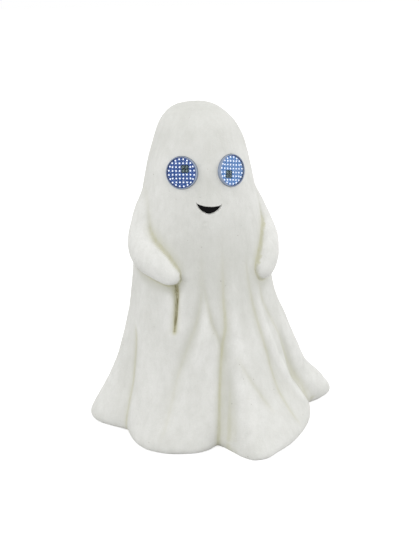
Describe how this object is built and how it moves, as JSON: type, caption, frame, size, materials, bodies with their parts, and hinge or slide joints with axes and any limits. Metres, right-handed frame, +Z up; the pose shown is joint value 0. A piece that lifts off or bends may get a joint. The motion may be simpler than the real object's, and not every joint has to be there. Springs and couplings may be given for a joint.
{
  "type": "ghost figure",
  "caption": "Hollow cast ghost statue in a draped sheet with folded arms, round dot-matrix eyes and a battery compartment with a hinged door in its back.",
  "frame": {"origin": "middle of the plan of the whole figure, on the floor that its rim stands on", "axes": "+Z up, the face looks along -Y, +X to the right of someone who faces the figure"},
  "size_m": [0.3834, 0.3262, 0.48],
  "materials": {
    "cement": "matte whitewashed cement with an ochre wash in its creases",
    "black_paint": "flat black paint",
    "grey_plastic": "satin grey ABS",
    "clear_acrylic": "clear acrylic",
    "blue_board": "solder mask",
    "white_diode": "white diodes, lit",
    "rubber": "matt",
    "black_plastic": "moulded ABS, fine texture",
    "black_chip": "moulded epoxy",
    "green_board": "solder mask",
    "wire_sleeve": "soft PVC sleeve",
    "zinc_steel": "zinc plated",
    "nickel": "nickel plated spring steel",
    "aluminium_can": "drawn can",
    "cell_wrap": "printed wrap on a steel can"
  },
  "bodies": {
    "statue": {"body_shell": "cement", "mouth_inlay": "black_paint", "battery_case": "black_plastic", "case_gasket": "rubber", "hinge_pin": "zinc_steel", "chamber_cover": "black_plastic", "control_board": "green_board", "control_chip": "black_chip", "capacitor": "aluminium_can", "switch_body": "black_chip", "upper_cable_clip": "black_plastic", "lower_cable_clip": "black_plastic", "left_contact_1": "nickel", "left_contact_2": "nickel", "right_contact_1": "nickel", "right_contact_2": "nickel", "case_screw_1": "zinc_steel", "case_screw_2": "zinc_steel", "case_screw_3": "zinc_steel", "case_screw_4": "zinc_steel", "cell_1": "cell_wrap", "cell_2": "cell_wrap", "cell_3": "cell_wrap", "left_eye_housing": "grey_plastic", "left_eye_lens": "clear_acrylic", "left_eye_seal": "rubber", "left_led_board": "blue_board", "left_led_array": "white_diode", "left_driver_chip": "black_chip", "left_eye_cable": "wire_sleeve", "left_battery_lead": "wire_sleeve", "left_grommet": "rubber", "right_eye_housing": "grey_plastic", "right_eye_lens": "clear_acrylic", "right_eye_seal": "rubber", "right_led_board": "blue_board", "right_led_array": "white_diode", "right_driver_chip": "black_chip", "right_eye_cable": "wire_sleeve", "right_battery_lead": "wire_sleeve", "right_grommet": "rubber"},
    "battery_door": {"battery_door": "black_plastic", "door_seal": "rubber"},
    "door_screw": {"door_screw": "zinc_steel"},
    "switch_slider": {"switch_slider": "black_plastic"}
  },
  "joints": [
    {"name": "battery_door_hinge", "type": "hinge", "parent": "statue", "child": "battery_door", "pos_m": [-0.02435, 0.12107, 0.12031], "axis": [1, 0, 0], "range_deg": [0, 100]},
    {"name": "door_screw_turn", "type": "hinge", "parent": "battery_door", "child": "door_screw", "pos_m": [-0.02435, 0.13644, 0.06532], "axis": [0, 0.9631, 0.2692], "continuous": true},
    {"name": "power_switch_slide", "type": "slide", "parent": "statue", "child": "switch_slider", "axis": [1, 0, 0], "range_m": [0, 0.004]}
  ]
}
